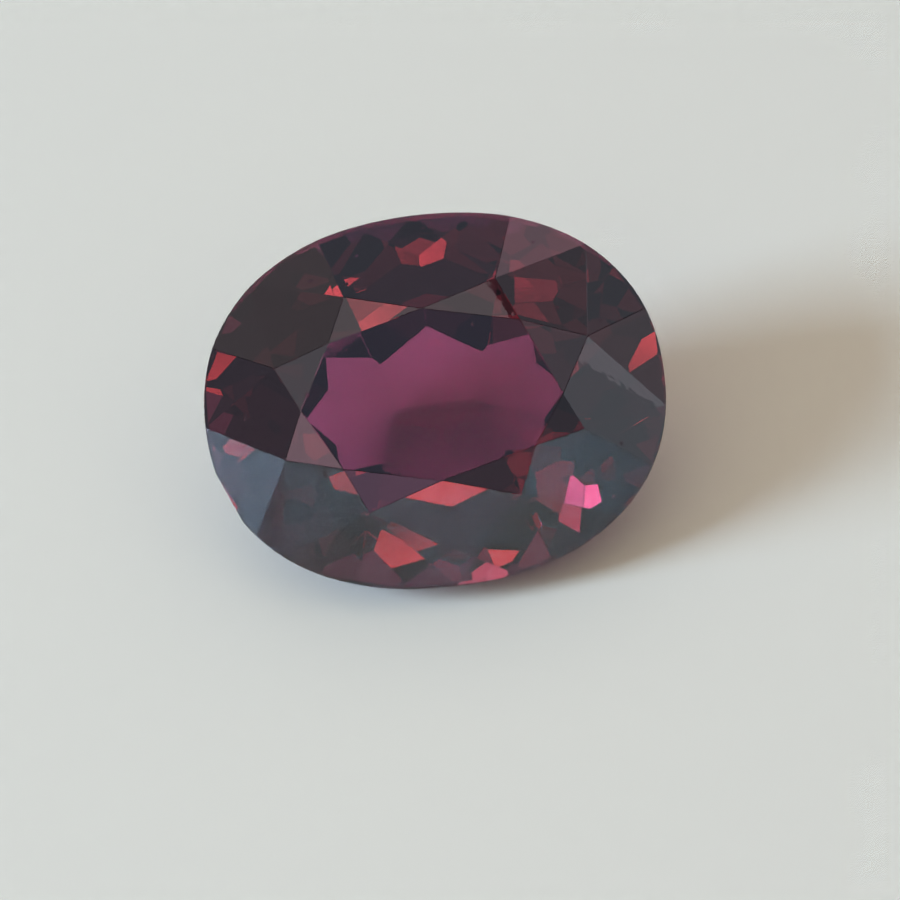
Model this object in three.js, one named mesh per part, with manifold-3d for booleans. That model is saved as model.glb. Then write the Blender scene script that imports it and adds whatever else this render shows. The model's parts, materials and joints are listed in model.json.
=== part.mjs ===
// Oval brilliant-cut tourmaline, a loose stone lying on one of its lower facets.
// Millimetres, +Z up. The stone is made the way a cutter makes it: an oval preform
// is ground flat by flat, each flat being one plane that takes a block of stone away.
import * as THREE from "three";
import { mergeVertices } from "three/addons/utils/BufferGeometryUtils.js";
import Module from "manifold-3d";

const wasm = await Module();
wasm.setup();

// Outline of the girdle, the stone's widest belt
const STONE_LENGTH = 10.0;
const STONE_WIDTH = 8.1;
// Power 2 is an ellipse; a little more gives the fuller shoulders
const OUTLINE_POWER = 2.22;
const OUTLINE_STEPS = 128;
const GIRDLE_THICKNESS = 0.24;

// Crown, the upper half with the table
const CROWN_HEIGHT = 1.55;
const TABLE_LENGTH = 5.64;
const TABLE_WIDTH = 3.72;
// Share of the crown height at which a star facet ends below the table
const STAR_DROP = 0.22;
// The crown main at the right end was cut a little toward the front, by whole outline steps
const RIGHT_MAIN_SWING = (-3 * 2 * Math.PI) / OUTLINE_STEPS;

// Two upper-girdle facets meet on the girdle half way between their mains, but the pair
// at the left front meets further on, which gives the left main one large neighbour
const GIRDLE_MEET = 0.5;
const LEFT_FRONT_PAIR = 4;
const LEFT_FRONT_MEET = 0.78;

// Pavilion, the lower half; angles are measured from the girdle plane.
// Steep break facets run under the girdle, then the lower-girdle facets, then the mains.
const BREAK_ANGLE = 56;
const BREAK_DROP = 0.5;
const LOWER_GIRDLE_ANGLE = 41.5;
// Kite facets take off the ridges of the lower-girdle facets, from a share of the way out
const KITE = { angle: 45, reach: 0.64 };
// A main facet's outer point is a share of the way from the axis to the girdle
const END_MAIN = { angle: 34, reach: 0.57 };
const SHOULDER_MAIN = { angle: 34.5, reach: 0.52 };
const BACK_MAIN = { angle: 34.5, reach: 0.42 };
const FRONT_MAIN = { angle: 34.5, reach: 0.52 };
// The mains in order round the pavilion, from the right end by way of the back
const PAVILION_MAINS = [
  END_MAIN, SHOULDER_MAIN, BACK_MAIN, SHOULDER_MAIN,
  END_MAIN, SHOULDER_MAIN, FRONT_MAIN, SHOULDER_MAIN,
];

// Both halves have the same number of mains, with a half step between neighbours
const MAIN_COUNT = PAVILION_MAINS.length;
const MAIN_STEP = (2 * Math.PI) / MAIN_COUNT;
const HALF_STEP = MAIN_STEP / 2;
const QUARTER_STEP = MAIN_STEP / 4;

// Edge of the block that takes the stone away beyond a facet
const BLOCK_SIZE = 30;
// Corners nearer than this are one corner
const WELD_DISTANCE = 0.01;

const girdleTop = GIRDLE_THICKNESS / 2;
const girdleBottom = -girdleTop;
const tableHeight = girdleTop + CROWN_HEIGHT;
const breakInset = BREAK_DROP / Math.tan(THREE.MathUtils.degToRad(BREAK_ANGLE));
const UP = new THREE.Vector3(0, 0, 1);

// Point of an oval at a turn round the axis
function ovalPoint(turn, length, width, height) {
  const share = 2 / OUTLINE_POWER;
  const along = Math.cos(turn);
  const across = Math.sin(turn);
  const x = (length / 2) * Math.sign(along) * Math.abs(along) ** share;
  const y = (width / 2) * Math.sign(across) * Math.abs(across) ** share;
  return new THREE.Vector3(x, y, height);
}

function girdlePoint(turn, height) {
  return ovalPoint(turn, STONE_LENGTH, STONE_WIDTH, height);
}

function tablePoint(turn) {
  return ovalPoint(turn, TABLE_LENGTH, TABLE_WIDTH, tableHeight);
}

// Level direction that points straight out of the girdle at a turn
function outwardAt(turn) {
  const power = 2 - 2 / OUTLINE_POWER;
  const along = Math.cos(turn);
  const across = Math.sin(turn);
  const x = (Math.sign(along) * Math.abs(along) ** power) / STONE_LENGTH;
  const y = (Math.sign(across) * Math.abs(across) ** power) / STONE_WIDTH;
  return new THREE.Vector3(x, y, 0).normalize();
}

// Plane through three points that faces away from the middle of the stone
function facetThrough(a, b, c) {
  const plane = new THREE.Plane().setFromCoplanarPoints(a, b, c);
  if (plane.constant > 0) {
    plane.negate();
  }
  return plane;
}

// Plane through a point that rises outward at an angle from the girdle plane
function facetAtAngle(point, outward, degrees) {
  const level = new THREE.Vector3().crossVectors(UP, outward).add(point);
  const rise = Math.tan(THREE.MathUtils.degToRad(degrees));
  const outer = point.clone().add(outward).addScaledVector(UP, rise);
  return facetThrough(point, level, outer);
}

// Crown main: from a table corner down to the girdle
function crownMain(turn) {
  const girdle = girdlePoint(turn, girdleTop);
  const level = new THREE.Vector3().crossVectors(UP, outwardAt(turn)).add(girdle);
  return facetThrough(tablePoint(turn), girdle, level);
}

// Turn round the axis of each crown main, counted past a full round as well
function crownTurn(i) {
  const swing = i % MAIN_COUNT === 0 ? RIGHT_MAIN_SWING : 0;
  return i * MAIN_STEP + swing;
}

// Point where two neighbouring crown mains and the star between them meet
function starPoint(turn, nextTurn) {
  const first = crownMain(turn);
  const second = crownMain(nextTurn);
  const height = tableHeight - STAR_DROP * CROWN_HEIGHT;
  const firstLevel = -first.constant - first.normal.z * height;
  const secondLevel = -second.constant - second.normal.z * height;
  const cross = first.normal.x * second.normal.y - second.normal.x * first.normal.y;
  const x = (firstLevel * second.normal.y - secondLevel * first.normal.y) / cross;
  const y = (first.normal.x * secondLevel - second.normal.x * firstLevel) / cross;
  return new THREE.Vector3(x, y, height);
}

function crownFacets() {
  const facets = [];
  for (let i = 0; i < MAIN_COUNT; i++) {
    const turn = crownTurn(i);
    const next = crownTurn(i + 1);
    const star = starPoint(turn, next);
    const meet = i === LEFT_FRONT_PAIR ? LEFT_FRONT_MEET : GIRDLE_MEET;
    const middle = girdlePoint(turn + meet * (next - turn), girdleTop);
    facets.push(crownMain(turn));
    facets.push(facetThrough(tablePoint(turn), tablePoint(next), star));
    facets.push(facetThrough(girdlePoint(turn, girdleTop), middle, star));
    facets.push(facetThrough(girdlePoint(next, girdleTop), middle, star));
  }
  facets.push(new THREE.Plane(UP, -tableHeight));
  return facets;
}

// Level direction out of the chord between two points of the girdle
function chordOutward(fromTurn, toTurn) {
  const chord = girdlePoint(toTurn, 0).sub(girdlePoint(fromTurn, 0)).normalize();
  return new THREE.Vector3().crossVectors(chord, UP);
}

// Break facet: the steep narrow flat right under the girdle
function breakFacet(turn) {
  const from = girdlePoint(turn - QUARTER_STEP, girdleBottom);
  const outward = chordOutward(turn - QUARTER_STEP, turn + QUARTER_STEP);
  return facetAtAngle(from, outward, BREAK_ANGLE);
}

// Lower-girdle facet: goes on inward where the break facets end
function lowerGirdleFacet(fromTurn, toTurn) {
  const outward = chordOutward(fromTurn, toTurn);
  const from = girdlePoint(fromTurn, girdleBottom - BREAK_DROP);
  return facetAtAngle(from.addScaledVector(outward, -breakInset), outward, LOWER_GIRDLE_ANGLE);
}

// Ridge facet, a main or a kite: starts where the lower-girdle facets beside it have come in far enough
function ridgeFacet(turn, { angle, reach }) {
  const outward = outwardAt(turn);
  const start = girdlePoint(turn, 0);
  start.addScaledVector(outward, (reach - 1) * outward.dot(start));
  const outer = lowerGirdleFacet(turn, turn + HALF_STEP);
  start.z = -outer.distanceToPoint(start) / outer.normal.z;
  return facetAtAngle(start, outward, angle);
}

function pavilionFacets() {
  const facets = [];
  PAVILION_MAINS.forEach((main, i) => {
    const turn = i * MAIN_STEP;
    facets.push(breakFacet(turn));
    facets.push(breakFacet(turn + HALF_STEP));
    facets.push(lowerGirdleFacet(turn, turn + HALF_STEP));
    facets.push(lowerGirdleFacet(turn - HALF_STEP, turn));
    facets.push(ridgeFacet(turn, KITE));
    facets.push(ridgeFacet(turn + HALF_STEP, KITE));
    facets.push(ridgeFacet(turn, main));
  });
  return facets;
}

function solidOf(geometry) {
  const bare = geometry.clone();
  bare.deleteAttribute("normal");
  bare.deleteAttribute("uv");
  const welded = mergeVertices(bare);
  return new wasm.Manifold(new wasm.Mesh({
    numProp: 3,
    vertProperties: new Float32Array(welded.attributes.position.array),
    triVerts: new Uint32Array(welded.index.array),
  }));
}

function geometryOf(solid) {
  const mesh = solid.getMesh();
  const geometry = new THREE.BufferGeometry();
  geometry.setAttribute("position", new THREE.BufferAttribute(mesh.vertProperties, 3));
  geometry.setIndex(new THREE.BufferAttribute(mesh.triVerts, 1));
  return geometry;
}

// Oval column of rough stone, taller than the finished cut
function preform() {
  const corners = [];
  for (let i = 0; i < OUTLINE_STEPS; i++) {
    const corner = girdlePoint((i * 2 * Math.PI) / OUTLINE_STEPS, 0);
    corners.push(new THREE.Vector2(corner.x, corner.y));
  }
  const column = new THREE.ExtrudeGeometry(new THREE.Shape(corners), {
    depth: STONE_LENGTH,
    bevelEnabled: false,
  });
  column.translate(0, 0, -STONE_LENGTH / 2);
  return solidOf(column);
}

// Takes away everything beyond a facet's plane
function grind(solid, facet) {
  const block = new THREE.BoxGeometry(BLOCK_SIZE, BLOCK_SIZE, BLOCK_SIZE);
  block.translate(0, 0, BLOCK_SIZE / 2);
  block.applyQuaternion(new THREE.Quaternion().setFromUnitVectors(UP, facet.normal));
  const foot = facet.coplanarPoint(new THREE.Vector3());
  block.translate(foot.x, foot.y, foot.z);
  return solid.subtract(solidOf(block));
}

function cutStone() {
  let solid = preform();
  for (const facet of [...crownFacets(), ...pavilionFacets()]) {
    solid = grind(solid, facet);
  }
  return geometryOf(solid.simplify(WELD_DISTANCE));
}

// The stone leans toward the front until its front main lies flat on the ground
const stoneGeometry = cutStone();
stoneGeometry.rotateX(THREE.MathUtils.degToRad(FRONT_MAIN.angle));
stoneGeometry.computeBoundingBox();
const { min, max } = stoneGeometry.boundingBox;

const tourmaline = new THREE.MeshStandardMaterial({ color: 0x753f5c, roughness: 0.05, metalness: 0 });
const gemstone = new THREE.Mesh(stoneGeometry, tourmaline);
gemstone.name = "gemstone";
gemstone.position.set(-(min.x + max.x) / 2, -(min.y + max.y) / 2, -min.z);

const part = new THREE.Group();
part.add(gemstone);

export default part;
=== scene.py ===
"""Looks for the loose oval-cut tourmaline: polished stone, pale floor, studio light, camera."""
import json
import math

import bmesh
import bpy
from bpy.props import FloatProperty, FloatVectorProperty, PointerProperty
from mathutils import Matrix, Vector


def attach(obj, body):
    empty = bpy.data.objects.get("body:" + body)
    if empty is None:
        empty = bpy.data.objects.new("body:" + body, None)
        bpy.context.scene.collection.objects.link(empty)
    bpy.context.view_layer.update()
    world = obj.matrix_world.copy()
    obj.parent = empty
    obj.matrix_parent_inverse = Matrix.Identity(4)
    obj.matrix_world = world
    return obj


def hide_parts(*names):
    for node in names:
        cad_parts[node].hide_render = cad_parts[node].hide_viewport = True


bl_info = {
    "name": "Oval Cut Tourmaline",
    "version": (1, 0, 0),
    "blender": (4, 5, 0),
    "location": "3D View > Sidebar > Tourmaline",
    "description": "Polishes the cut stone and sets the floor, light and camera round it",
    "category": "Object",
}

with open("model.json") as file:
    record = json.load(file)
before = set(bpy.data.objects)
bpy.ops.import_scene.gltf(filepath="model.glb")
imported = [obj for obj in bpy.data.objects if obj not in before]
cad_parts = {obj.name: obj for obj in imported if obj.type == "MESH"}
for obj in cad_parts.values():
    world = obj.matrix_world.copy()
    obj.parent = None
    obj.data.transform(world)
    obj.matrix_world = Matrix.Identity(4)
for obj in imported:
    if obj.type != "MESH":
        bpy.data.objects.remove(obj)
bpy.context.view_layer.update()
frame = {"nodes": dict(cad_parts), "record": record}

MILLIMETRE = 0.001
# The photograph's frame, in pixels
IMAGE_SIZE = 900
# Where the middle of the girdle stands in that frame, and how large the stone is there
STONE_IN_IMAGE = (434.8, 401.0)
PIXELS_PER_METRE = 46.2 / MILLIMETRE
SENSOR_WIDTH = 36.0
# From the girdle plane up to the table
TABLE_ABOVE_GIRDLE = 1.67 * MILLIMETRE
TABLE = next(m for m in frame["record"]["mounts"] if m["name"] == "table")
STONE_MIDDLE = Vector(TABLE["pos_m"]) - TABLE_ABOVE_GIRDLE * Vector(TABLE["axis"])

# From the stone to every lamp, in metres
LAMP_DISTANCE = 0.6
# Lamps: name, turn from +X and rise, half width and half height as seen from the stone, all in
# degrees, then colour and brightness
# Lamps that light the floor and throw the stone's shadow on it
FLOOR_LIGHTS = (
    ("window_light", 186, 26, 8, 12, "d0edff", 29.4),
    ("warm_light", 0, 90, 55, 55, "ffe7b4", 0.57),
)
# Lamps that only give the floor its sheen, which the lower facets throw back
FLOOR_SHEEN = (
    ("left_sheen", 192, 8, 12, 8, "b4d6ff", 12.0),
    ("front_sheen", -80, 9, 55, 7, "b4dcff", 6.5),
)
# Broad soft boxes whose reflections veil the facets and whose light comes back up through them
STONE_BOXES = (
    ("table_box", -95, 55, 14, 14, "ced5ff", 0.42),
    ("back_left_box", 138, 31, 14, 14, "ffecf1", 0.50),
    ("right_box", -24, 7, 14, 14, "e8f2ff", 0.97),
    ("left_low_box", 180, 7, 14, 14, "f8e1ff", 0.32),
    ("back_box", 98, 43, 14, 14, "d8e6ff", 0.38),
    ("top_box", 120, 79, 14, 14, "ffeff5", 1.10),
    ("right_low_box", 0, 19, 14, 14, "fff3ff", 0.60),
    ("front_low_box", -103, 19, 12, 12, "ffc9f5", 1.20),
    ("left_box", -159, 55, 14, 14, "f9f3ff", 0.95),
    ("right_high_box", -33, 61, 8, 8, "f7eeff", 0.70),
    ("back_right_box", 45, 43, 13, 13, "faeeff", 0.42),
    ("front_left_box", -138, 30, 6, 6, "ffcfe1", 2.40),
    ("back_pink_box", 58, 38.5, 4, 4, "ffc5d5", 0.90),
    ("right_front_box", -62, 20, 28, 8, "e0e8ff", 0.35),
    ("right_back_box", 33, 25, 10, 10, "e6eeff", 0.45),
    ("front_pink_box", -146, 40, 10, 4.5, "ffe6ea", 2.60),
    ("left_pink_box", -158, 39, 20, 5.5, "ffe6ea", 0.90),
)
# Small lamps that the facets throw back as flashes: turn, rise, half size, colour, brightness
FLASH_LAMPS = (
    (-136.5, 21, 2.0, "b8c0ff", 40.0),
    (-131, 20, 2.8, "dfe4ff", 7.0),
    (-97, 74, 2.4, "ffe2ce", 7.0),
    (-93, 25.5, 1.6, "ffe2ce", 8.0),
    (-44, 57, 1.3, "ffe2ce", 3.0),
    (-56, 8, 1.8, "ffe4d0", 5.0),
    (-94, 65, 2.2, "ffe4d0", 1.8),
    (-95, 82, 2.2, "ffe2ce", 11.0),
    (-84, 14, 2.0, "ffe2ce", 9.0),
    (-56, 46, 1.6, "ffe2ce", 5.5),
    (-57, 50.5, 1.8, "ffe2ce", 9.0),
    (-46, 42, 2.0, "ffe2ce", 9.0),
    (-116, 31, 2.0, "ffe2ce", 6.0),
    (-115, 8, 1.3, "ffe2ce", 9.0),
    (70, 23, 2.4, "ffd0e0", 3.0),
    (94, 25, 2.0, "ffe2ce", 2.0),
    (102, 43, 1.6, "ffe2ce", 2.0),
    (-74, 40, 1.5, "ffe2ce", 6.0),
    (-12, 40, 2.0, "ffe2ce", 4.0),
    (-117, 79, 2.0, "ffe2ce", 6.0),
    (-61, 17, 2.0, "ffe2ce", 7.0),
)
# A flash lamp's middle against its stated brightness
FLASH_PEAK = 2.5
# Light gathered under the stone: middle of the floor that is seen through the table
POOL_PLACE = (0.0, 1.25 * MILLIMETRE)
# Low enough for a spot lamp to make so small a pool
POOL_LAMP_HEIGHT = 0.1
# The pool's length along the stone against its width
POOL_STRETCH = 1.35
# Share of the pool's radius over which it fades
POOL_FADE = 0.8

# Handling smears: size, where the pattern starts to be one and is one, and roughness
SMEAR_SIZE = 1.6 * MILLIMETRE
SMEAR_START, SMEAR_FULL = 0.52, 0.78
CLEAN_ROUGHNESS, SMEAR_ROUGHNESS = 0.004, 0.035
# Polishing ripple, really a few micrometres across, drawn coarse enough to show
RIPPLE_SIZE = 0.12 * MILLIMETRE
RIPPLE_HEIGHT = 0.001 * MILLIMETRE
RIPPLE_STRENGTH = 0.05
# Dust specks about 0.1 mm across: room for each, its core and edge in shares of that room,
# its roughness, and its height against the ripple's
DUST_SPACING = 0.9 * MILLIMETRE
SPECK_CORE, SPECK_EDGE = 0.045, 0.065
SPECK_ROUGHNESS = 0.55
SPECK_HEIGHT = 60.0
# Mottle of the floor: size, range of the pattern, and its darkest shade
MOTTLE_SIZE = 0.25 * MILLIMETRE
MOTTLE_START, MOTTLE_FULL = 0.3, 0.7
MOTTLE_SHADE = 0.97

# Bounces of light inside the stone, and the noise at which the renderer stops looking
BOUNCES = 16
NOISE_LIMIT = 0.04
# Nearest and farthest that the camera sees, in metres
CLIP_START, CLIP_END = 0.005, 10


def linear(hex_colour):
    """Linear colour of an sRGB hex value."""
    shares = [int(hex_colour[i:i + 2], 16) / 255 for i in (0, 2, 4)]
    return [s / 12.92 if s <= 0.04045 else ((s + 0.055) / 1.055) ** 2.4 for s in shares]


def add_node(tree, kind, settings=None, links=None):
    """Adds a node, sets its properties and sockets, and links its inputs."""
    node = tree.nodes.new(kind)
    for name, value in (settings or {}).items():
        if isinstance(name, str) and hasattr(node, name):
            setattr(node, name, value)
        else:
            node.inputs[name].default_value = value
    for name, source in (links or {}).items():
        tree.links.new(source, node.inputs[name])
    return node


def empty_material(name):
    """A material with an empty node tree."""
    material = bpy.data.materials.new(name)
    material.use_nodes = True
    material.node_tree.nodes.clear()
    return material


def tourmaline_material(stone):
    """Polished tourmaline: clear, with colour by depth and almost mirror-smooth facets.

    To the eye it is dark plum where the way through is long and pink where it is short, with a
    grey veil of reflected room on each facet, a faint polishing ripple and a few dust specks.
    """
    material = empty_material("polished_tourmaline")
    tree = material.node_tree
    place = add_node(tree, "ShaderNodeTexCoord")
    smears = add_node(
        tree, "ShaderNodeTexNoise",
        {"Scale": 1 / SMEAR_SIZE, "Detail": 2.0, "Roughness": 0.55},
        {"Vector": place.outputs["Object"]})
    smear_roughness = add_node(
        tree, "ShaderNodeMapRange",
        {"From Min": SMEAR_START, "From Max": SMEAR_FULL,
         "To Min": CLEAN_ROUGHNESS, "To Max": SMEAR_ROUGHNESS},
        {"Value": smears.outputs["Fac"]})
    ripple = add_node(
        tree, "ShaderNodeTexNoise",
        {"Scale": 1 / RIPPLE_SIZE, "Detail": 0.0},
        {"Vector": place.outputs["Object"]})
    dust = add_node(
        tree, "ShaderNodeTexVoronoi",
        {"Scale": 1 / DUST_SPACING, "Randomness": 1.0},
        {"Vector": place.outputs["Object"]})
    speck = add_node(
        tree, "ShaderNodeMapRange",
        {"From Min": SPECK_CORE, "From Max": SPECK_EDGE,
         "To Min": SPECK_ROUGHNESS, "To Max": 0.0},
        {"Value": dust.outputs["Distance"]})
    roughness = add_node(
        tree, "ShaderNodeMath", {"operation": "MAXIMUM"},
        {0: smear_roughness.outputs["Result"], 1: speck.outputs["Result"]})
    relief = add_node(
        tree, "ShaderNodeMath", {"operation": "MULTIPLY_ADD", 1: SPECK_HEIGHT},
        {0: speck.outputs["Result"], 2: ripple.outputs["Fac"]})
    polish = add_node(
        tree, "ShaderNodeBump",
        {"Strength": RIPPLE_STRENGTH, "Distance": RIPPLE_HEIGHT},
        {"Height": relief.outputs["Value"]})
    surface = add_node(
        tree, "ShaderNodeBsdfPrincipled",
        {"Base Color": (*stone.surface_colour, 1), "IOR": stone.refractive_index,
         "Transmission Weight": 1.0},
        {"Roughness": roughness.outputs["Value"], "Normal": polish.outputs["Normal"]})
    body = add_node(
        tree, "ShaderNodeVolumeAbsorption",
        {"Color": (*stone.body_colour, 1), "Density": stone.body_depth})
    add_node(
        tree, "ShaderNodeOutputMaterial", None,
        {"Surface": surface.outputs["BSDF"], "Volume": body.outputs["Volume"]})
    return material


def floor_material(stage):
    """Pale matt laminate: even, with a very faint mottle and a soft sheen at a low angle."""
    material = empty_material("pale_matt_laminate")
    tree = material.node_tree
    place = add_node(tree, "ShaderNodeTexCoord")
    mottle = add_node(
        tree, "ShaderNodeTexNoise",
        {"Scale": 1 / MOTTLE_SIZE, "Detail": 0.0},
        {"Vector": place.outputs["Object"]})
    shade = add_node(
        tree, "ShaderNodeMapRange",
        {"From Min": MOTTLE_START, "From Max": MOTTLE_FULL,
         "To Min": MOTTLE_SHADE, "To Max": 1.0},
        {"Value": mottle.outputs["Fac"]})
    colour = add_node(
        tree, "ShaderNodeMix",
        {"data_type": "RGBA", "blend_type": "MULTIPLY", 0: 1.0, 6: (*stage.floor_colour, 1)},
        {7: shade.outputs["Result"]})
    surface = add_node(
        tree, "ShaderNodeBsdfPrincipled",
        {"Roughness": stage.floor_roughness},
        {"Base Color": colour.outputs[2]})
    add_node(tree, "ShaderNodeOutputMaterial", None, {"Surface": surface.outputs["BSDF"]})
    return material


def only(obj):
    """Selects one object and makes it the active one."""
    bpy.ops.object.select_all(action="DESELECT")
    obj.select_set(True)
    bpy.context.view_layer.objects.active = obj


def direction(turn, rise):
    """Unit direction from a turn round +Z and a rise above the floor, in degrees."""
    turn, rise = math.radians(turn), math.radians(rise)
    return Vector((
        math.cos(rise) * math.cos(turn), math.cos(rise) * math.sin(turn), math.sin(rise)))


class StoneSettings(bpy.types.PropertyGroup):
    """Sizes and colours of the stone."""

    weld_distance: FloatProperty(
        name="Weld distance", description="Corners nearer than this become one",
        default=0.002 * MILLIMETRE, subtype="DISTANCE", unit="LENGTH", precision=6)
    facet_angle: FloatProperty(
        name="Facet angle", description="Faces that turn less than this are one facet",
        default=math.radians(0.5), subtype="ANGLE")
    edge_width: FloatProperty(
        name="Edge width", description="Width of the softened edge between two facets",
        default=0.015 * MILLIMETRE, subtype="DISTANCE", unit="LENGTH", precision=6)
    crisp_angle: FloatProperty(
        name="Crisp angle", description="Edges that turn more than this are softened",
        default=math.radians(8), subtype="ANGLE")
    short_edge: FloatProperty(
        name="Short edge", description="Corners on edges shorter than this stay sharp",
        default=0.05 * MILLIMETRE, subtype="DISTANCE", unit="LENGTH", precision=6)
    refractive_index: FloatProperty(
        name="Refractive index", description="Refractive index of tourmaline", default=1.63)
    surface_colour: FloatVectorProperty(
        name="Surface colour", description="Tint that light takes on as it passes the surface",
        size=3, subtype="COLOR", default=linear("f989e6"))
    body_colour: FloatVectorProperty(
        name="Body colour", description="Colour that the depth of the stone lets through",
        size=3, subtype="COLOR", default=linear("a27943"))
    body_depth: FloatProperty(
        name="Body depth", description="How strongly a metre of stone takes light away",
        default=480.0)


class StageSettings(bpy.types.PropertyGroup):
    """Floor, light and room round the stone."""

    floor_size: FloatProperty(
        name="Floor size", description="Edge of the square floor", default=1.6,
        subtype="DISTANCE", unit="LENGTH")
    floor_gap: FloatProperty(
        name="Floor gap", description="Air between the floor and the lowest facet",
        default=0.02 * MILLIMETRE, subtype="DISTANCE", unit="LENGTH", precision=6)
    floor_colour: FloatVectorProperty(
        name="Floor colour", description="Colour of the floor", size=3, subtype="COLOR",
        default=linear("e7e7e5"))
    floor_roughness: FloatProperty(
        name="Floor roughness", description="How matt the floor is", default=0.4)
    room_colour: FloatVectorProperty(
        name="Room colour", description="Light of the room from all round", size=3,
        subtype="COLOR", default=linear("656976"))
    pool_light: FloatProperty(
        name="Pool light", description="Brightness of the light gathered under the stone",
        default=0.56)
    pool_colour: FloatVectorProperty(
        name="Pool colour", description="Colour of the light gathered under the stone", size=3,
        subtype="COLOR", default=linear("ffeef8"))
    pool_size: FloatProperty(
        name="Pool size", description="Radius of the light gathered under the stone",
        default=2.6 * MILLIMETRE, subtype="DISTANCE", unit="LENGTH", precision=6)


class CameraSettings(bpy.types.PropertyGroup):
    """Where the camera stands."""

    turn: FloatProperty(
        name="Turn", description="Turn of the camera round the stone",
        default=math.radians(-87.5), subtype="ANGLE")
    rise: FloatProperty(
        name="Rise", description="Angle of the camera above the floor",
        default=math.radians(51.1), subtype="ANGLE")
    roll: FloatProperty(
        name="Roll", description="Roll of the camera about its view",
        default=math.radians(9.0), subtype="ANGLE")
    distance: FloatProperty(
        name="Distance", description="From the stone to the camera", default=0.13,
        subtype="DISTANCE", unit="LENGTH")


class GEMSTONE_OT_polish_stone(bpy.types.Operator):
    """Makes the polished stone from the cut solid"""

    bl_idname = "gemstone.polish_stone"
    bl_label = "Polish Stone"

    def execute(self, context):
        settings = context.scene.stone_settings
        node = frame["nodes"]["gemstone"]
        stone = bpy.data.objects.new("polished_stone", node.data.copy())
        context.scene.collection.objects.link(stone)
        only(stone)
        bpy.ops.object.mode_set(mode="EDIT")
        bpy.ops.mesh.select_all(action="SELECT")
        bpy.ops.mesh.remove_doubles(threshold=settings.weld_distance)
        bpy.ops.mesh.dissolve_limited(angle_limit=settings.facet_angle)
        self.soften_edges(stone, settings)
        bpy.ops.object.mode_set(mode="OBJECT")
        bpy.ops.object.shade_flat()
        stone.data.materials.clear()
        stone.data.materials.append(tourmaline_material(settings))
        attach(stone, "root")
        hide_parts("gemstone")
        return {"FINISHED"}

    def soften_edges(self, stone, settings):
        """Takes the sharpness off the crisp edges between facets, where no corner is crowded."""
        bpy.ops.mesh.select_all(action="DESELECT")
        bpy.ops.mesh.select_mode(type="EDGE")
        shape = bmesh.from_edit_mesh(stone.data)
        crowded = {
            corner for edge in shape.edges if edge.calc_length() < settings.short_edge
            for corner in edge.verts}
        for edge in shape.edges:
            crisp = edge.calc_face_angle() > settings.crisp_angle
            edge.select = crisp and crowded.isdisjoint(edge.verts)
        bmesh.update_edit_mesh(stone.data)
        bpy.ops.mesh.bevel(
            offset_type="WIDTH", offset=settings.edge_width, segments=1, affect="EDGES",
            clamp_overlap=False)


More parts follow.
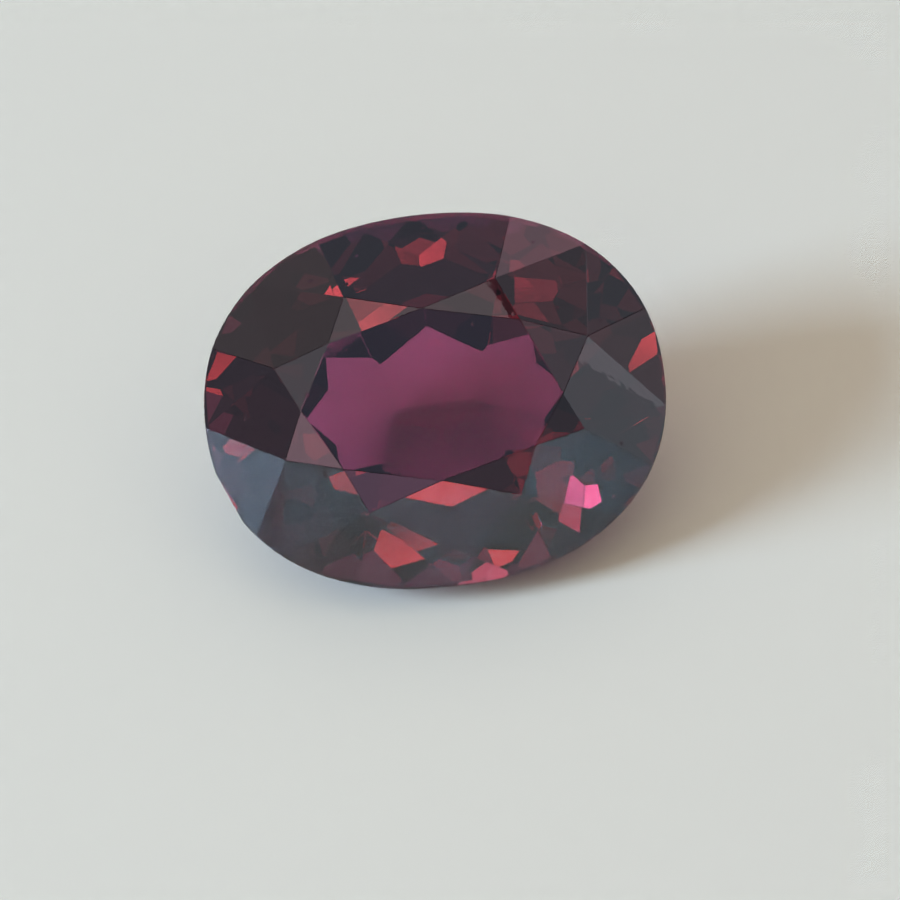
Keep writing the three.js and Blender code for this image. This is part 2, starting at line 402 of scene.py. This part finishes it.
class GEMSTONE_OT_set_stage(bpy.types.Operator):
    """Lays the floor and sets the light"""

    bl_idname = "gemstone.set_stage"
    bl_label = "Set Stage"

    def execute(self, context):
        stage = context.scene.stage_settings
        bpy.ops.object.select_all(action="DESELECT")
        bpy.ops.mesh.primitive_plane_add(
            size=stage.floor_size, location=(0, 0, -stage.floor_gap))
        floor = context.object
        floor.name = "floor"
        floor.data.materials.append(floor_material(stage))
        floor_only = bpy.data.collections.new("floor_only")
        floor_only.objects.link(floor)
        for lamp in FLOOR_LIGHTS:
            light = self.add_lamp(context, *lamp)
            light.visible_glossy = False
            light.visible_transmission = False
        for lamp in FLOOR_SHEEN:
            light = self.add_lamp(context, *lamp)
            light.visible_diffuse = False
            light.light_linking.receiver_collection = floor_only
        for lamp in STONE_BOXES:
            self.add_lamp(context, *lamp).visible_diffuse = False
        for turn, rise, half_size, colour, brightness in FLASH_LAMPS:
            light = self.add_lamp(
                context, "flash_lamp", turn, rise, half_size, half_size, colour, brightness)
            light.visible_diffuse = False
            self.soften(light.data)
        self.add_under_light(context, floor_only, stage)
        self.set_room(context, stage)
        return {"FINISHED"}

    def add_lamp(self, context, name, turn, rise, across, high, colour, brightness):
        """A lamp that faces the stone and looks that large and that bright from it."""
        lamp = bpy.data.lights.new(name, "AREA")
        lamp.shape = "RECTANGLE"
        lamp.size = 2 * LAMP_DISTANCE * math.tan(math.radians(across))
        lamp.size_y = 2 * LAMP_DISTANCE * math.tan(math.radians(high))
        lamp.color = linear(colour)
        lamp.energy = brightness * math.pi * lamp.size * lamp.size_y
        box = bpy.data.objects.new(name, lamp)
        context.scene.collection.objects.link(box)
        toward = direction(turn, rise)
        box.location = STONE_MIDDLE + LAMP_DISTANCE * toward
        box.rotation_euler = toward.to_track_quat("Z", "Y").to_euler()
        box.visible_camera = False
        return box

    def soften(self, lamp):
        """Lets a lamp fade from its middle to its edge."""
        lamp.use_nodes = True
        tree = lamp.node_tree
        tree.nodes.clear()
        place = add_node(tree, "ShaderNodeNewGeometry")
        middle = add_node(
            tree, "ShaderNodeMapping", {"Location": (-1, -1, 0), "Scale": (2, 2, 0)},
            {"Vector": place.outputs["Parametric"]})
        fade = add_node(
            tree, "ShaderNodeTexGradient", {"gradient_type": "SPHERICAL"},
            {"Vector": middle.outputs["Vector"]})
        strength = add_node(
            tree, "ShaderNodeMapRange", {"To Max": FLASH_PEAK}, {"Value": fade.outputs["Fac"]})
        glow = add_node(
            tree, "ShaderNodeEmission", None, {"Strength": strength.outputs["Result"]})
        add_node(tree, "ShaderNodeOutputLight", None, {"Surface": glow.outputs["Emission"]})

    def add_under_light(self, context, floor_only, stage):
        """The light that the stone gathers on the floor below it, which no lamp sends there."""
        lamp = bpy.data.lights.new("under_light", "SPOT")
        reach = POOL_LAMP_HEIGHT
        lamp.spot_size = 2 * math.atan(stage.pool_size / reach)
        lamp.spot_blend = POOL_FADE
        lamp.shadow_soft_size = 0.0
        lamp.color = stage.pool_colour
        lamp.energy = stage.pool_light * 4 * math.pi ** 2 * reach ** 2
        light = bpy.data.objects.new("under_light", lamp)
        context.scene.collection.objects.link(light)
        light.location = (*POOL_PLACE, reach)
        light.scale.x = POOL_STRETCH
        light.light_linking.receiver_collection = floor_only
        light.light_linking.blocker_collection = floor_only

    def set_room(self, context, stage):
        """Even light from the room, and enough bounces for the facets inside the stone."""
        room = bpy.data.worlds.new("room")
        room.use_nodes = True
        room.node_tree.nodes.clear()
        glow = add_node(
            room.node_tree, "ShaderNodeBackground", {"Color": (*stage.room_colour, 1)})
        add_node(
            room.node_tree, "ShaderNodeOutputWorld", None,
            {"Surface": glow.outputs["Background"]})
        scene = context.scene
        scene.world = room
        scene.cycles.max_bounces = BOUNCES
        scene.cycles.transmission_bounces = BOUNCES
        scene.cycles.glossy_bounces = BOUNCES
        # The colour alone guides the clean-up, because facets and their images share edges
        scene.cycles.denoising_input_passes = "RGB"
        # The even floor needs fewer looks than the stone
        scene.cycles.adaptive_threshold = NOISE_LIMIT
        scene.view_settings.view_transform = "Standard"


class GEMSTONE_OT_aim_camera(bpy.types.Operator):
    """Sets the camera at the photograph's angle"""

    bl_idname = "gemstone.aim_camera"
    bl_label = "Aim Camera"

    def execute(self, context):
        settings = context.scene.camera_settings
        back = direction(math.degrees(settings.turn), math.degrees(settings.rise))
        level = back.to_track_quat("Z", "Y")
        right = level @ Vector((math.cos(settings.roll), -math.sin(settings.roll), 0))
        up = level @ Vector((math.sin(settings.roll), math.cos(settings.roll), 0))
        half = IMAGE_SIZE / 2
        aside = (half - STONE_IN_IMAGE[0]) / PIXELS_PER_METRE
        below = (half - STONE_IN_IMAGE[1]) / PIXELS_PER_METRE
        aim = STONE_MIDDLE + aside * right - below * up
        data = bpy.data.cameras.new("camera")
        data.sensor_width = SENSOR_WIDTH
        data.lens = SENSOR_WIDTH * settings.distance * PIXELS_PER_METRE / IMAGE_SIZE
        data.clip_start = CLIP_START
        data.clip_end = CLIP_END
        camera = bpy.data.objects.new("camera", data)
        context.scene.collection.objects.link(camera)
        stand = Matrix((right, up, back)).transposed().to_4x4()
        stand.translation = aim + settings.distance * back
        camera.matrix_world = stand
        context.scene.camera = camera
        return {"FINISHED"}


class GEMSTONE_PT_tourmaline(bpy.types.Panel):
    """Settings and steps for the tourmaline"""

    bl_label = "Tourmaline"
    bl_space_type = "VIEW_3D"
    bl_region_type = "UI"
    bl_category = "Tourmaline"

    def draw(self, context):
        for group in (
                context.scene.stone_settings, context.scene.stage_settings,
                context.scene.camera_settings):
            for name in group.__annotations__:
                self.layout.prop(group, name)
        for step in STEPS:
            self.layout.operator(step.bl_idname)


STEPS = (GEMSTONE_OT_polish_stone, GEMSTONE_OT_set_stage, GEMSTONE_OT_aim_camera)
CLASSES = (StoneSettings, StageSettings, CameraSettings, *STEPS, GEMSTONE_PT_tourmaline)


def register():
    for cls in CLASSES:
        bpy.utils.register_class(cls)
    bpy.types.Scene.stone_settings = PointerProperty(type=StoneSettings)
    bpy.types.Scene.stage_settings = PointerProperty(type=StageSettings)
    bpy.types.Scene.camera_settings = PointerProperty(type=CameraSettings)


def unregister():
    del bpy.types.Scene.camera_settings
    del bpy.types.Scene.stage_settings
    del bpy.types.Scene.stone_settings
    for cls in reversed(CLASSES):
        bpy.utils.unregister_class(cls)


def main():
    register()
    bpy.ops.gemstone.polish_stone()
    bpy.ops.gemstone.set_stage()
    bpy.ops.gemstone.aim_camera()


if __name__ == "__main__":
    main()
